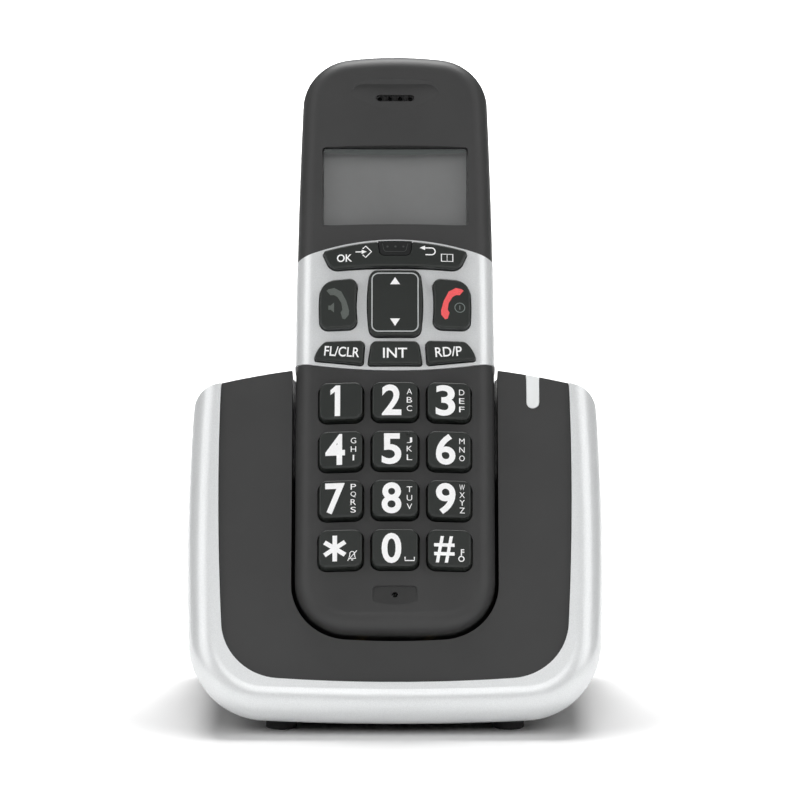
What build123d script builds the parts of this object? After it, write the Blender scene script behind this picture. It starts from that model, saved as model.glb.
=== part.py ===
"""Cordless telephone handset standing in its charging base.

The handset is drawn lying flat in its own frame: x to the right, y from its lower end
towards the earpiece, z out of the keypad face, with z = 0 on the joint between its two
casings. docked() leans it back into the base. The base's front cover, frame and contacts
are drawn in that same frame; the rest of the base is drawn upright, in the row frame.
"""

from build123d import *
from math import cos, pi, radians, sin, sqrt, tan
import os

# ---- driving dimensions, in millimetres and degrees -------------------------------------

LEAN = 28.0                 # how far the handset leans back from upright
DOCK_Y = -33.66             # where the handset's keypad origin stands in the row frame
DOCK_Z = 25.3

HANDSET_WIDTH = 52.0
CHIN_Y, CROWN_Y = -3.6, 158.3   # lowest and highest point of the outline
CHIN_RISE = 1.6             # how much higher the chin's ends are than its middle
TAPER_START = 70.0          # above this height the sides draw in
TOP_HALF_WIDTH = 24.1
SHOULDER = 156.1
CHIN_RADIUS = 14.5
SHOULDER_RADIUS = 13.5
FACE_Z = 11.5               # the middle of the keypad face
BACK_Z = -13.0              # the deepest point of the back
FACE_CROWN = 150.0          # radius across the face
BACK_CROWN = 70.0           # radius across the back
FACE_EDGE = 5.0             # rounding of the face's edge
BACK_EDGE = 7.0
WALL = 2.0
BAND_PROUD = 0.25           # the silver band stands this far out of the casing
SEAM = 0.1                  # gap between casing parts that butt together

BAND_TOP_Y, BAND_TOP_R = 104.2, 73.8
BAND_LOW_Y, BAND_LOW_R = 67.5, 115.0

KEY_GAP = 0.25              # around each key in its aperture
KEY_BASE_Z = 7.0            # underside of the keys' flanges, on the rubber mat
FLANGE = 0.9
FLANGE_REACH = 0.6
ROCKER_DROP = 0.6           # the two rocker keys' flanges lie this much lower
DIGIT_PITCH_X, DIGIT_PITCH_Y = 14.05, 13.5
DIGIT_ROW_Y = 17.9          # centre of the lowest row
DIGIT_HEIGHT = 10.7
DIGIT_WIDTHS = (11.7, 12.4, 11.7)
DIGIT_CORNER = 2.4
DIGIT_RISE = 2.6
NAV_Y, NAV_HALF_WIDTH, NAV_HALF_HEIGHT = 85.9, 7.2, 9.2
SOFT_LOW = 96.1             # lower edge of the soft-key bar, at the middle

WINDOW = (19.3, 108.7, 131.2)     # display window: half width, lower and upper edge
LENS_TOP_Z = 9.8
BOARD_Z, BOARD_THICKNESS = 3.4, 1.6

DOOR = (18.5, 47.5, 109.5)        # battery door: half width, lower and upper edge
DOOR_THICKNESS = 1.4
CELL_DIAMETER, CELL_LENGTH = 10.5, 44.5
CELL_X, CELL_Z, CELL_Y = 5.5, -5.2, 76.5

PAD_X = 9.0                 # charging contacts, left and right of the middle
EAR_Y, MIC_Y = 145.0, 6.0

PANEL_Z, FRAME_Z = 6.5, 7.5       # the base's dark front and its silver frame
SPLIT_Z = -0.5              # where the silver frame meets the rear housing
FRAME_EDGE = 7.0
BASE_HALF_WIDTH = 54.1      # at the widest, half way up
BASE_FOOT_HALF_WIDTH = 52.2
BASE_TOP_HALF_WIDTH = 52.6
BASE_LOW_Z = 2.4            # underside of the housing, above the feet
BASE_CORNER = 20.0
BASE_BACK = 77.0            # distance from the handset's lower end back to the rear face
POCKET_GAP = 0.9            # between the handset and the side of its cradle
POCKET_FLOOR = CHIN_Y - 1.5
POCKET_WALL = 1.8
NOTCH = (22.3, 45.5)        # opening in the cradle's back: half width and lower edge
LIGHT_X, LIGHT_WIDTH, LIGHT_LOW = 36.1, 3.3, 58.8
FOOT_X, FOOT_RADIUS = 29.5, 4.0
SOCKET_X, BUTTON_Z = 21.0, 10.6

FAR = 200.0                 # further than any part reaches


# ---- placing -------------------------------------------------------------------------------

def docked(shape):
    """From the handset's frame to the row frame."""
    return Location((0, DOCK_Y, DOCK_Z), (90 - LEAN, 0, 0)) * shape


def block(x0, x1, y0, y1, z0, z1):
    size = (x1 - x0, y1 - y0, z1 - z0)
    return Pos((x0 + x1) / 2, (y0 + y1) / 2, (z0 + z1) / 2) * Box(*size)


def disc(radius, x, y, z0, z1):
    return Pos(x, y, (z0 + z1) / 2) * Cylinder(radius, z1 - z0)


def raised(face, z0, z1, taper=0.0):
    """A sketch in the x, y plane, drawn out from z0 to z1."""
    return extrude(Pos(0, 0, z0) * face, z1 - z0, taper=taper)


def rounded_box(width, height, radius, x, y):
    return Pos(x, y) * RectangleRounded(width, height, radius)


def mirrored(shape):
    return mirror(shape, about=Plane.YZ)


def one_solid(shape):
    """The largest solid of a shape, without slivers that a cut left beside it."""
    return shape.solids().sort_by(SortBy.VOLUME)[-1]


def grown(face, grow):
    """A face with its sides moved out by grow and its corners kept sharp."""
    return offset(face, grow, kind=Kind.INTERSECTION) if grow else face


def corners_near(sketch, height, slack=1.0):
    return [v for v in sketch.vertices() if abs(v.Y - height) < slack]


# ---- the handset's outer form ----------------------------------------------------------------

def handset_outline(grow=0.0):
    side = HANDSET_WIDTH / 2
    top = TOP_HALF_WIDTH
    chin = CHIN_Y + CHIN_RISE
    face = make_face([
        ThreePointArc((-side, chin), (0, CHIN_Y), (side, chin)),
        Line((side, chin), (side, TAPER_START)),
        TangentArc((side, TAPER_START), (top, SHOULDER), tangent=(0, 1)),
        ThreePointArc((top, SHOULDER), (0, CROWN_Y), (-top, SHOULDER)),
        TangentArc((-side, TAPER_START), (-top, SHOULDER), tangent=(0, 1)),
        Line((-side, TAPER_START), (-side, chin)),
    ])
    face = grown(face, grow)
    ends = [v for v in face.vertices() if v.Y > TAPER_START + 20]
    face = fillet(ends, SHOULDER_RADIUS + grow)
    ends = [v for v in face.vertices() if v.Y < TAPER_START - 20]
    return fillet(ends, CHIN_RADIUS + grow)


def crown(rise=0.0):
    """Everything under the face's crown, raised by rise."""
    bar = Rot(90, 0, 0) * Cylinder(FACE_CROWN + rise, 3 * FAR)
    return Pos(0, 0, FACE_Z - FACE_CROWN) * bar


def back_bulge(inset=0.0):
    """Everything inside the back's curve."""
    bar = Rot(90, 0, 0) * Cylinder(BACK_CROWN - inset, 3 * FAR)
    return Pos(0, 0, BACK_Z + BACK_CROWN) * bar


def perimeter(solid, front):
    """The edges round the face, or round the back."""
    found = []
    for edge in solid.edges():
        box = edge.bounding_box()
        if (front and box.min.Z > 3) or (not front and box.max.Z < -3):
            found.append(edge)
    return found


def handset_form(inset=0.0):
    form = raised(handset_outline(-inset), -FAR / 4, FAR / 4)
    form = form & crown(-inset) & back_bulge(inset)
    form = fillet(perimeter(form, True), FACE_EDGE - inset)
    return fillet(perimeter(form, False), BACK_EDGE - inset)


def above(z):
    return block(-FAR, FAR, -FAR, 2 * FAR, z, FAR)


def below(z):
    return block(-FAR, FAR, -FAR, 2 * FAR, -FAR, z)


# ---- keys --------------------------------------------------------------------------------------

def digit_outline(column):
    width = DIGIT_WIDTHS[column]
    return rounded_box(width, DIGIT_HEIGHT, DIGIT_CORNER, (column - 1) * DIGIT_PITCH_X, 0)


def nav_outline():
    wide, half = NAV_HALF_WIDTH, NAV_HALF_HEIGHT
    end = wide - 0.75
    face = make_face([
        ThreePointArc((-end, -half), (-wide, 0), (-end, half)),
        Line((-end, half), (end, half)),
        ThreePointArc((end, half), (wide, 0), (end, -half)),
        Line((end, -half), (-end, -half)),
    ])
    return Pos(0, NAV_Y) * fillet(face.vertices(), 2.2)


def talk_outline():
    low, high, inner, outer = 78.9, 92.9, -9.7, -19.5
    face = make_face([
        ThreePointArc((inner, low), (inner - 0.6, 85.5), (inner + 0.1, high)),
        Line((inner + 0.1, high), (outer + 0.1, high - 0.6)),
        ThreePointArc((outer + 0.1, high - 0.6), (outer - 0.35, 85.2), (outer, low)),
        Line((outer, low), (inner, low)),
    ])
    left_top = [v for v in face.vertices() if v.Y > 90 and v.X < -15]
    face = fillet(left_top, 4.2)
    inner_top = [v for v in face.vertices() if v.Y > 92.5 and v.X > -12]
    face = fillet(inner_top, 2.0)
    return fillet(corners_near(face, low, 0.2), 2.3)


def side_function_outline():
    high, low = 75.4, 68.8
    face = make_face([
        Line((-8.4, low), (-8.0, high)),
        Line((-8.0, high), (-18.2, high)),
        ThreePointArc((-18.2, high), (-20.1, 73.4), (-21.1, 70.5)),
        Line((-21.1, 70.5), (-8.4, low)),
    ])
    face = fillet([v for v in face.vertices() if v.X < -17 and v.Y > 74], 1.6)
    face = fillet([v for v in face.vertices() if v.X > -10 and v.Y > 74], 1.2)
    return fillet([v for v in face.vertices() if v.Y < 71], 0.7)


def middle_function_outline():
    face = make_face(Polyline((-7.1, 68.7), (7.1, 68.7), (6.1, 75.2), (-6.1, 75.2), close=True))
    face = fillet(corners_near(face, 75.2), 1.4)
    return fillet(corners_near(face, 68.7), 0.7)


def soft_outline():
    tip, corner, high, low = (19.1, 100.7), (16.9, SOFT_LOW - 0.5), 103.25, SOFT_LOW
    face = make_face([
        ThreePointArc((-tip[0], tip[1]), (0, high), tip),
        Line(tip, corner),
        ThreePointArc(corner, (0, low), (-corner[0], corner[1])),
        Line((-corner[0], corner[1]), (-tip[0], tip[1])),
    ])
    face = fillet(corners_near(face, corner[1], 0.3), 3.0)
    return fillet(corners_near(face, tip[1], 0.3), 0.8)


def lamp_outline(grow=0.0):
    """The message lamp's window, let into the upper edge of the soft key."""
    face = make_face(Polyline((-4.7, 104.6), (-3.9, 99.2), (3.9, 99.2), (4.7, 104.6), close=True))
    face = fillet(corners_near(face, 99.2), 1.3)
    return offset(face, grow) if grow else face


# name: (outline, rise above the face, taper, is a rocker)
CONTROL_KEYS = {
    "soft_key_bar": (soft_outline(), 2.0, 0.0, True),
    "navigation_key": (nav_outline(), 2.0, 0.0, True),
    "talk_key": (talk_outline(), 2.2, 0.0, False),
    "end_call_key": (mirrored(talk_outline()), 2.2, 0.0, False),
    "flash_key": (side_function_outline(), 1.9, 0.0, False),
    "intercom_key": (middle_function_outline(), 1.9, 0.0, False),
    "redial_key": (mirrored(side_function_outline()), 1.9, 0.0, False),
}
DIGITS = (("star", "0", "hash"), ("7", "8", "9"), ("4", "5", "6"), ("1", "2", "3"))


def digit_keys():
    """name: outline of each dialling key, lowest row first."""
    return {
        f"key_{name}": Pos(0, DIGIT_ROW_Y + row * DIGIT_PITCH_Y) * digit_outline(column)
        for row, names in enumerate(DIGITS)
        for column, name in enumerate(names)
    }


def key_cap(outline, rise, taper, rocker, edge=0.55):
    """A key: the cap that stands in its aperture, on a flange under the casing."""
    base = KEY_BASE_Z - (ROCKER_DROP if rocker else 0)
    flange = raised(offset(outline, FLANGE_REACH), base, base + FLANGE)
    cap = raised(outline, base + FLANGE / 2, FACE_Z + 5, taper) & crown(rise)
    top = [e for e in cap.edges() if e.bounding_box().min.Z > FACE_Z - 2.4]
    return fillet(top, edge) + flange


def all_keys():
    keys = {n: key_cap(o, r, t, rocker) for n, (o, r, t, rocker) in CONTROL_KEYS.items()}
    beside = block(-FAR, FAR, 80, SOFT_LOW - 0.5, 0, KEY_BASE_Z + FLANGE)
    bar = keys["soft_key_bar"] - raised(lamp_outline(0.2), 0, FAR / 4) - beside
    keys["soft_key_bar"] = one_solid(bar)
    reach = NAV_HALF_HEIGHT + 0.05
    span = block(-FAR, FAR, NAV_Y - reach, NAV_Y + reach, 0, FAR)
    keys["navigation_key"] = one_solid(keys["navigation_key"] & span)
    for name, outline in digit_keys().items():
        keys[name] = key_cap(outline, DIGIT_RISE, 2.5, False)
    tip = Pos(3.4, DIGIT_ROW_Y + 2 * DIGIT_PITCH_Y + 4.2, FACE_Z + DIGIT_RISE) * Sphere(0.45)
    keys["key_5"] = keys["key_5"] + tip
    return keys


def apertures():
    """The holes that every key, and the lamp between them, stands in."""
    holes = [raised(offset(o, KEY_GAP), -1, FAR / 4) for o, *_ in CONTROL_KEYS.values()]
    holes += [raised(offset(o, KEY_GAP), -1, FAR / 4) for o in digit_keys().values()]
    return holes


# ---- handset casings -----------------------------------------------------------------------------

def band_area(grow):
    """The silver band's place on the face, larger by grow at its two curved ends."""
    side = 40.0
    high, low = BAND_TOP_Y + grow, BAND_LOW_Y - grow
    drop = BAND_TOP_R - sqrt(BAND_TOP_R**2 - side**2)
    lift = BAND_LOW_R - sqrt(BAND_LOW_R**2 - side**2)
    return raised(make_face([
        ThreePointArc((-side, high - drop), (0, high), (side, high - drop)),
        Line((side, high - drop), (side, low + lift)),
        ThreePointArc((side, low + lift), (0, low), (-side, low + lift)),
        Line((-side, low + lift), (-side, high - drop)),
    ]), -1, FAR / 4)


def scoop(half_width, low, high, depth, radius, slope):
    """A shallow hollow in the face, deepest along its sloping upper edge."""
    height = 3.0 * (high - low)
    outline = rounded_box(2 * half_width, height, radius, 0, high - height / 2)
    angle = depth / (high - low)
    floor = Pos(0, low, FACE_Z) * Rot(-angle * 180 / pi, 0, 0) * Pos(0, 0, 10) * Box(FAR, FAR, 20)
    return raised(outline, FACE_Z - depth, FACE_Z + 1, -slope) & floor


def screw_posts(radius, z0, z1, places):
    return [disc(radius, x, y, z0, z1) for x, y in places]


UPPER_SCREWS = ((-16.0, 105.2), (16.0, 105.2))
LOWER_SCREWS = ((-15.5, 8.0), (15.5, 8.0))
SCREW_RADIUS = 1.0


def front_shell(form, hollow):
    """The whole front casing before it is divided, with its screw posts."""
    shell = (form & above(0)) - hollow
    for post in screw_posts(1.9, 0, FACE_Z, UPPER_SCREWS + LOWER_SCREWS):
        shell = shell + (post & hollow)
    for bore in screw_posts(SCREW_RADIUS - 0.02, -1, 7.2, UPPER_SCREWS + LOWER_SCREWS):
        shell = shell - bore
    for hole in apertures():
        shell = shell - hole
    return shell


def upper_cover(shell):
    half, low, high = WINDOW
    cover = shell - band_area(SEAM)
    cover = cover & block(-FAR, FAR, 85, FAR, -1, FAR)
    cover = cover - raised(rounded_box(2 * half, high - low, 0.9, 0, (low + high) / 2), 0, FAR / 4)
    cover = cover - scoop(11.2, 141.5, 149.2, 0.75, 3.0, 58)
    slot = raised(SlotOverall(10.2, 1.9), FACE_Z - 1.0, FAR / 4)
    cover = cover - Pos(0, EAR_Y, 0) * slot
    for x in (-4.05, -1.35, 1.35, 4.05):
        cover = cover - disc(0.62, x, EAR_Y, 0, FAR / 4)
    return one_solid(cover)


def lower_cover(shell):
    cover = shell - band_area(SEAM)
    cover = cover & block(-FAR, FAR, -FAR, 85, -1, FAR)
    cover = cover - scoop(5.6, 3.2, 8.2, 0.55, 1.0, 20)
    cover = cover - disc(0.8, 0, MIC_Y, 0, FAR / 4)
    return one_solid(cover)


def silver_band(hollow):
    band = (handset_form(-BAND_PROUD) & above(0)) - hollow
    band = band & band_area(0)
    for hole in apertures():
        band = band - hole
    for post in screw_posts(2.1, -1, FACE_Z - WALL, UPPER_SCREWS):
        band = band - (post & hollow)
    return one_solid(band)


def door_outline(grow=0.0):
    half, low, high = DOOR
    return offset(rounded_box(2 * half, high - low, 4.0, 0, (low + high) / 2), grow)


def tray(grow, z0, z1):
    """The well that the two cells lie in."""
    half = CELL_X + CELL_DIAMETER / 2 + 0.6 + grow
    long = CELL_LENGTH / 2 + 3.6 + grow
    return block(-half, half, CELL_Y - long, CELL_Y + long, z0, z1)


def rear_cover(form, hollow):
    """The rear casing, with the battery compartment and the screw posts left standing."""
    seat = handset_form(DOOR_THICKNESS + 0.1)
    kept = raised(door_outline(1.4), -FAR / 4, -8.4) + tray(1.2, -9.6, 1.4)
    for x, y in UPPER_SCREWS:
        kept = kept + disc(2.6, x, y, -9.0, -0.3)
    for x, y in LOWER_SCREWS:
        kept = kept + disc(3.0, x, y, -FAR / 4, -0.3)
    cover = form - (hollow - kept)
    cover = cover - (raised(handset_outline(3.0), -SEAM, FAR / 4) - tray(1.2, -9.6, 1.4))
    cover = cover - (raised(door_outline(0.15), -FAR / 4, -3) - seat)
    cover = cover - raised(door_outline(-1.2), -FAR / 4, -9.8) - tray(0, -FAR / 4, 0.2)
    for x, y in UPPER_SCREWS:
        cover = cover - disc(SCREW_RADIUS + 0.2, x, y, -FAR / 4, 1) - disc(2.0, x, y, -FAR / 4, -7.9)
    for x, y in LOWER_SCREWS:
        cover = cover - disc(SCREW_RADIUS + 0.2, x, y, -FAR / 4, 1) - disc(2.0, x, y, -FAR / 4, -6.0)
    for x in (-PAD_X, PAD_X):
        cover = cover - block(x - 2.1, x + 2.1, CHIN_Y - 2, CHIN_Y + 1.15, -4.7, -0.7)
    holes = [disc(0.7, x, y, -FAR / 4, -5) for x, y in speaker_holes()]
    return one_solid(cover - holes)


SPEAKER_Y = 131.0


def speaker_holes(pitch=2.7):
    """A hexagonal field of holes, three rings about the middle one."""
    found = []
    for row in range(-3, 4):
        count = 7 - abs(row)
        for k in range(count):
            found.append(((k - (count - 1) / 2) * pitch, SPEAKER_Y + row * pitch * sqrt(3) / 2))
    return found


def battery_door(form):
    lid = (form - handset_form(DOOR_THICKNESS)) & raised(door_outline(-0.05), -FAR / 4, -3)
    half, low, high = DOOR
    for k in range(5):
        reach, y = 6.5 - k * 0.6, low + 5 + 1.8 * k
        lid = lid - block(-reach, reach, y, y + 0.9, -FAR / 4, BACK_Z + 0.7)
    for x in (-13.0, 13.0):
        lid = lid + block(x - 2, x + 2, high - 6, high - 1.5, -11.0, -9.9)
    return one_solid(lid)


# ---- inside the handset ----------------------------------------------------------------------------

def display_lens():
    half, low, high = WINDOW
    middle = (low + high) / 2
    lens = raised(rounded_box(2 * half - 0.2, high - low - 0.2, 0.8, 0, middle), 7.7, LENS_TOP_Z)
    top = [e for e in lens.edges() if e.bounding_box().min.Z > LENS_TOP_Z - 0.01]
    lens = chamfer(top, 0.25)
    return lens + raised(rounded_box(2 * half + 2.2, high - low + 2.2, 1.5, 0, middle), 6.9, 7.7)


def lcd_panel():
    half, low, high = WINDOW
    return block(-half - 0.6, half + 0.6, low - 0.8, high + 0.8, 5.9, 6.85)


def lcd_frame():
    half, low, high = WINDOW
    plate = block(-half - 1.4, half + 1.4, low - 1.4, high + 2.0, 5.0, 5.85)
    rim = block(-half - 1.4, half + 1.4, low - 1.4, high + 2.0, 5.0, 6.8)
    return plate + (rim - block(-half - 0.7, half + 0.7, low - 0.9, high + 0.9, 5, 8))


def handset_board():
    z1 = BOARD_Z + BOARD_THICKNESS
    board = raised(handset_outline(-3.0), BOARD_Z, z1) & block(-FAR, FAR, 10.5, 137, 0, FAR)
    for x, y in UPPER_SCREWS:
        board = board - disc(2.3, x, y, 0, 10)
    for x, y, w, h in ((-12, 24, 9, 9), (8, 30, 12, 8), (-4, 52, 10, 10), (14, 66, 7, 7)):
        board = board + block(x - w / 2, x + w / 2, y - h / 2, y + h / 2, BOARD_Z - 1.3, BOARD_Z + 0.2)
    return board


def shield_can():
    can = block(-12, 12, 112, 127.5, BOARD_Z - 2.6, BOARD_Z)
    return can - block(-11.6, 11.6, 112.4, 127.1, BOARD_Z - 2.3, BOARD_Z + 1)


def keypad_mat():
    top = BOARD_Z + BOARD_THICKNESS
    sheet = raised(handset_outline(-4.6), top, top + 0.7) & block(-FAR, FAR, 10.8, 104.8, 0, FAR)
    for x, y in UPPER_SCREWS:
        sheet = sheet - disc(2.3, x, y, 0, 10)
    for name, outline in digit_keys().items():
        centre = outline.center()
        sheet = sheet + disc(3.0, centre.X, centre.Y, top, KEY_BASE_Z)
    for x, y in ((-14.8, 86), (14.8, 86), (-14.0, 72.2), (0, 72.0), (14.0, 72.2)):
        sheet = sheet + disc(2.4, x, y, top, KEY_BASE_Z)
    for x, y in ((0, NAV_Y - 5.5), (0, NAV_Y + 5.5), (-12.5, 98.5), (12.5, 98.5)):
        sheet = sheet + disc(2.0, x, y, top, KEY_BASE_Z - ROCKER_DROP)
    return sheet


def message_lamp():
    outline = lamp_outline() & soft_outline()
    return raised(outline, BOARD_Z + BOARD_THICKNESS + 0.8, FAR / 4) & crown(1.9)


def earpiece():
    body = disc(6.6, 0, EAR_Y, 6.2, 9.1)
    return body + disc(5.0, 0, EAR_Y, 5.2, 6.2)


def loudspeaker():
    cup = disc(9.8, 0, SPEAKER_Y, -8.6, -6.4)
    magnet = disc(6.0, 0, SPEAKER_Y, -6.4, -3.4)
    return cup + magnet - disc(8.6, 0, SPEAKER_Y, -9, -8.0)


def microphone():
    return disc(2.0, 0, MIC_Y, 6.4, 8.5)


def microphone_boot():
    return disc(2.9, 0, MIC_Y, 5.4, 8.2) - disc(2.02, 0, MIC_Y, 6.38, 9)


def battery_cells():
    """Two AAA cells side by side, the second turned end for end."""
    nub = 0.8
    body = CELL_LENGTH - nub
    cells = []
    for side in (-1, 1):
        can = Rot(90, 0, 0) * Cylinder(CELL_DIAMETER / 2, body)
        can = fillet(can.edges(), 0.5)
        tip = Pos(0, side * (body + nub) / 2, 0) * (Rot(90, 0, 0) * Cylinder(1.9, nub + 0.01))
        cells.append(Pos(side * CELL_X, CELL_Y - side * nub / 2, CELL_Z) * (can + tip))
    return cells


def cell_springs():
    """The coil springs behind the flat end of each cell."""
    free, wire, turns = 3.2, 0.25, 3
    springs = []
    for side in (-1, 1):
        path = Helix(pitch=(free - 2 * wire) / turns, height=free - 2 * wire, radius=2.6)
        start = Plane(origin=path @ 0, z_dir=path % 0)
        coil = sweep(start * Circle(wire), path=path)
        coil = Pos(0, 0, wire) * coil
        y = CELL_Y - side * CELL_LENGTH / 2
        turned = Rot(90 * side, 0, 0) * coil
        springs.append(Pos(side * CELL_X, y - side * 0.02, CELL_Z) * turned)
    return springs


def cell_plates():
    plates = []
    for side in (-1, 1):
        y = CELL_Y + side * (CELL_LENGTH / 2 + 0.35)
        plate = Box(7.2, 0.4, 8.0)
        plates.append(Pos(side * CELL_X, y, CELL_Z) * plate)
    return plates


def charge_pads():
    return [block(x - 2, x + 2, CHIN_Y + 0.22, CHIN_Y + 1.1, -4.6, -0.8) for x in (-PAD_X, PAD_X)]


def screw(length, radius, head_radius, head_height):
    """A pan-head screw standing on its head's underside, shank up, with a crossed recess."""
    head = Pos(0, 0, -head_height / 2) * Cylinder(head_radius, head_height)
    head = fillet(head.edges().sort_by(Axis.Z)[0], head_height * 0.4)
    body = head + Pos(0, 0, length / 2) * Cylinder(radius, length)
    for turn in (0, 90):
        slot = Rot(0, 0, turn) * Box(head_radius * 1.3, head_radius * 0.3, head_height)
        body = body - Pos(0, 0, -head_height) * slot
    return body


def handset_screws():
    one = screw(12.0, SCREW_RADIUS - 0.02, 1.8, 1.2)
    upper = [Pos(x, y, -7.9) * one for x, y in UPPER_SCREWS]
    return upper + [Pos(x, y, -6.0) * one for x, y in LOWER_SCREWS]


# ---- the base's outer form ------------------------------------------------------------------------

def base_side(inset):
    """Side view of the base, as a sketch in row y and z."""
    lean = radians(LEAN)

    def on_front(z):
        """Row y of the sloping front at height z."""
        along = (z - DOCK_Z - FRAME_Z * sin(lean)) / cos(lean)
        return DOCK_Y + along * sin(lean) - FRAME_Z * cos(lean)

    top = 96.0
    points = [
        (on_front(BASE_LOW_Z), BASE_LOW_Z),
        (on_front(top), top),
        (DOCK_Y + 38.0, top),
        (DOCK_Y + 42.5, 52.0),
        (DOCK_Y + 62.0, 22.5),
        (DOCK_Y + BASE_BACK, 20.5),
        (DOCK_Y + BASE_BACK, BASE_LOW_Z),
    ]
    face = grown(make_face(Polyline(*points, close=True)), -inset)
    for index, radius in ((3, 26.0 + inset), (4, 16.0 + inset), (5, 5.0 - inset), (6, 2.5 - inset)):
        here = Vector(*points[index])
        face = fillet([face.vertices().sort_by_distance(here)[0]], radius)
    return extrude(Plane.YZ * face, FAR / 2, both=True)


def base_front(inset):
    """Front view of the base below its roof, drawn straight back."""
    foot = (BASE_FOOT_HALF_WIDTH, BASE_LOW_Z + 1.8)
    waist, top, high = (BASE_HALF_WIDTH, 50.0), (BASE_TOP_HALF_WIDTH, 86.0), (48.0, 130.0)
    left = {point: (-point[0], point[1]) for point in (foot, waist, top, high)}
    face = make_face([
        ThreePointArc(left[foot], (0, BASE_LOW_Z), foot),
        ThreePointArc(foot, waist, top),
        Line(top, high),
        Line(high, left[high]),
        Line(left[high], left[top]),
        ThreePointArc(left[top], left[waist], left[foot]),
    ])
    face = grown(face, -inset)
    face = fillet(corners_near(face, foot[1] + inset, 1.0), BASE_CORNER - inset)
    return extrude(Plane.XZ * face, FAR, both=True)


def base_plan(inset):
    """Top view of the base: its rear corners are rounded."""
    side, back = 60.0, DOCK_Y + BASE_BACK
    face = make_face(Polyline((-side, -FAR), (side, -FAR), (side, back), (-side, back), close=True))
    face = grown(face, -inset)
    return extrude(fillet(corners_near(face, back - inset), 24.0 - inset), FAR)


def base_roof(inset):
    """Everything under the base's arched top, which falls away towards the rear."""
    side, foot, shoulder, high, fall = 52.6, 57.0, 63.9, 71.2, 0.14
    face = make_face([
        ThreePointArc((-side, shoulder), (0, high), (side, shoulder)),
        Line((side, shoulder), (foot, -30)),
        Line((foot, -30), (foot, -FAR)),
        Line((foot, -FAR), (-foot, -FAR)),
        Line((-foot, -FAR), (-foot, -30)),
        Line((-foot, -30), (-side, shoulder)),
    ])
    face = grown(face, -inset)
    ends = [v for v in face.vertices() if v.Y > 40]
    face = fillet(ends, 7.0 - inset)
    start = Pos(0, -fall * (30 - PANEL_Z), 30) * face
    return docked(extrude(start, 130, dir=(0, fall, -1)))


def base_form(inset=0.0):
    form = base_side(inset) & base_front(inset)
    rim = []
    for edge in form.edges():
        middle = edge.center()
        depth = -(middle.Y - DOCK_Y) * cos(radians(LEAN)) + (middle.Z - DOCK_Z) * sin(radians(LEAN))
        if depth > FRAME_Z - inset - 0.5 and middle.Z < 88:
            rim.append(edge)
    form = fillet(rim, FRAME_EDGE - inset)
    return form & base_plan(inset) & base_roof(inset)


def panel_outline(grow=0.0):
    """The dark front's edge, open at the top."""
    foot, waist, top, low = (43.9, -14.1), (45.9, 36.0), (45.1, 76.0), -16.3
    left = [(-x, y) for x, y in (foot, waist, top)]
    face = make_face([
        ThreePointArc(left[0], (0, low), foot),
        ThreePointArc(foot, waist, top),
        Line(top, left[2]),
        ThreePointArc(left[2], left[1], left[0]),
    ])
    face = fillet(corners_near(face, foot[1], 0.5), 15.5)
    return offset(face, grow) if grow else face


def pocket_outline(grow=0.0):
    side, floor = HANDSET_WIDTH / 2 + POCKET_GAP + grow, POCKET_FLOOR - grow
    rise = floor + 1.9
    face = make_face([
        ThreePointArc((-side, rise), (0, floor), (side, rise)),
        Line((side, rise), (side, 140)),
        Line((side, 140), (-side, 140)),
        Line((-side, 140), (-side, rise)),
    ])
    return fillet(corners_near(face, rise, 0.3), 15.0 + grow)


def pocket(grow=0.0):
    """The space that the docked handset stands in, with its clearance."""
    back = BACK_Z - 1.0 - grow
    tube = Pos(0, 0, back + BACK_CROWN) * Rot(90, 0, 0) * Cylinder(BACK_CROWN, 3 * FAR)
    space = raised(pocket_outline(grow), -FAR / 4, 40) & tube
    boxes = [(edge, edge.bounding_box()) for edge in space.edges()]
    rear = [edge for edge, box in boxes if box.max.Z < -3 and box.min.Y < 139]
    return fillet(rear, BACK_EDGE + grow)


def light_outline(grow=0.0):
    length = 30.0
    half = LIGHT_WIDTH / 2 + grow
    low = LIGHT_LOW - grow
    face = make_face([
        ThreePointArc((LIGHT_X - half, low + half), (LIGHT_X, low), (LIGHT_X + half, low + half)),
        Line((LIGHT_X + half, low + half), (LIGHT_X + half, low + length)),
        Line((LIGHT_X + half, low + length), (LIGHT_X - half, low + length)),
        Line((LIGHT_X - half, low + length), (LIGHT_X - half, low + half)),
    ])
    return face


def base_front_cover(form, hollow, space):
    prism = docked(raised(panel_outline(), SPLIT_Z, PANEL_Z))
    plate = (form & prism) - (hollow & docked(below(PANEL_Z - WALL)))
    walls = docked(pocket(POCKET_WALL)) & form & docked(below(PANEL_Z - 0.5))
    half, low = NOTCH
    cover = plate + walls - docked(space)
    cover = cover - docked(block(-half, half, low, FAR, -FAR, BACK_Z + 4))
    for x in (-5.0, 5.0):
        rib = block(x - 1.4, x + 1.4, POCKET_FLOOR - 1, CHIN_Y - 0.25, -9, 2.5)
        cover = cover + docked(rib)
    for x in (-PAD_X, PAD_X):
        cover = cover - docked(block(x - 1.6, x + 1.6, POCKET_FLOOR - 4, POCKET_FLOOR + 3, -4.6, -1.0))
    cover = cover - docked(raised(light_outline(0.1), -4.2, 20))
    return one_solid(cover)


def base_frame(form, hollow):
    frame = (form & docked(above(SPLIT_Z + SEAM))) - hollow
    return one_solid(frame - docked(raised(panel_outline(SEAM), -FAR / 4, 20)))


def base_underside(grow=0.0):
    """The bottom plate's place, seen from above."""
    face = rounded_box(2 * (36.0 + grow), 78.0 + 2 * grow, 6.0, 0, DOCK_Y + 32.0)
    return raised(face, -1, 7)


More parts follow.
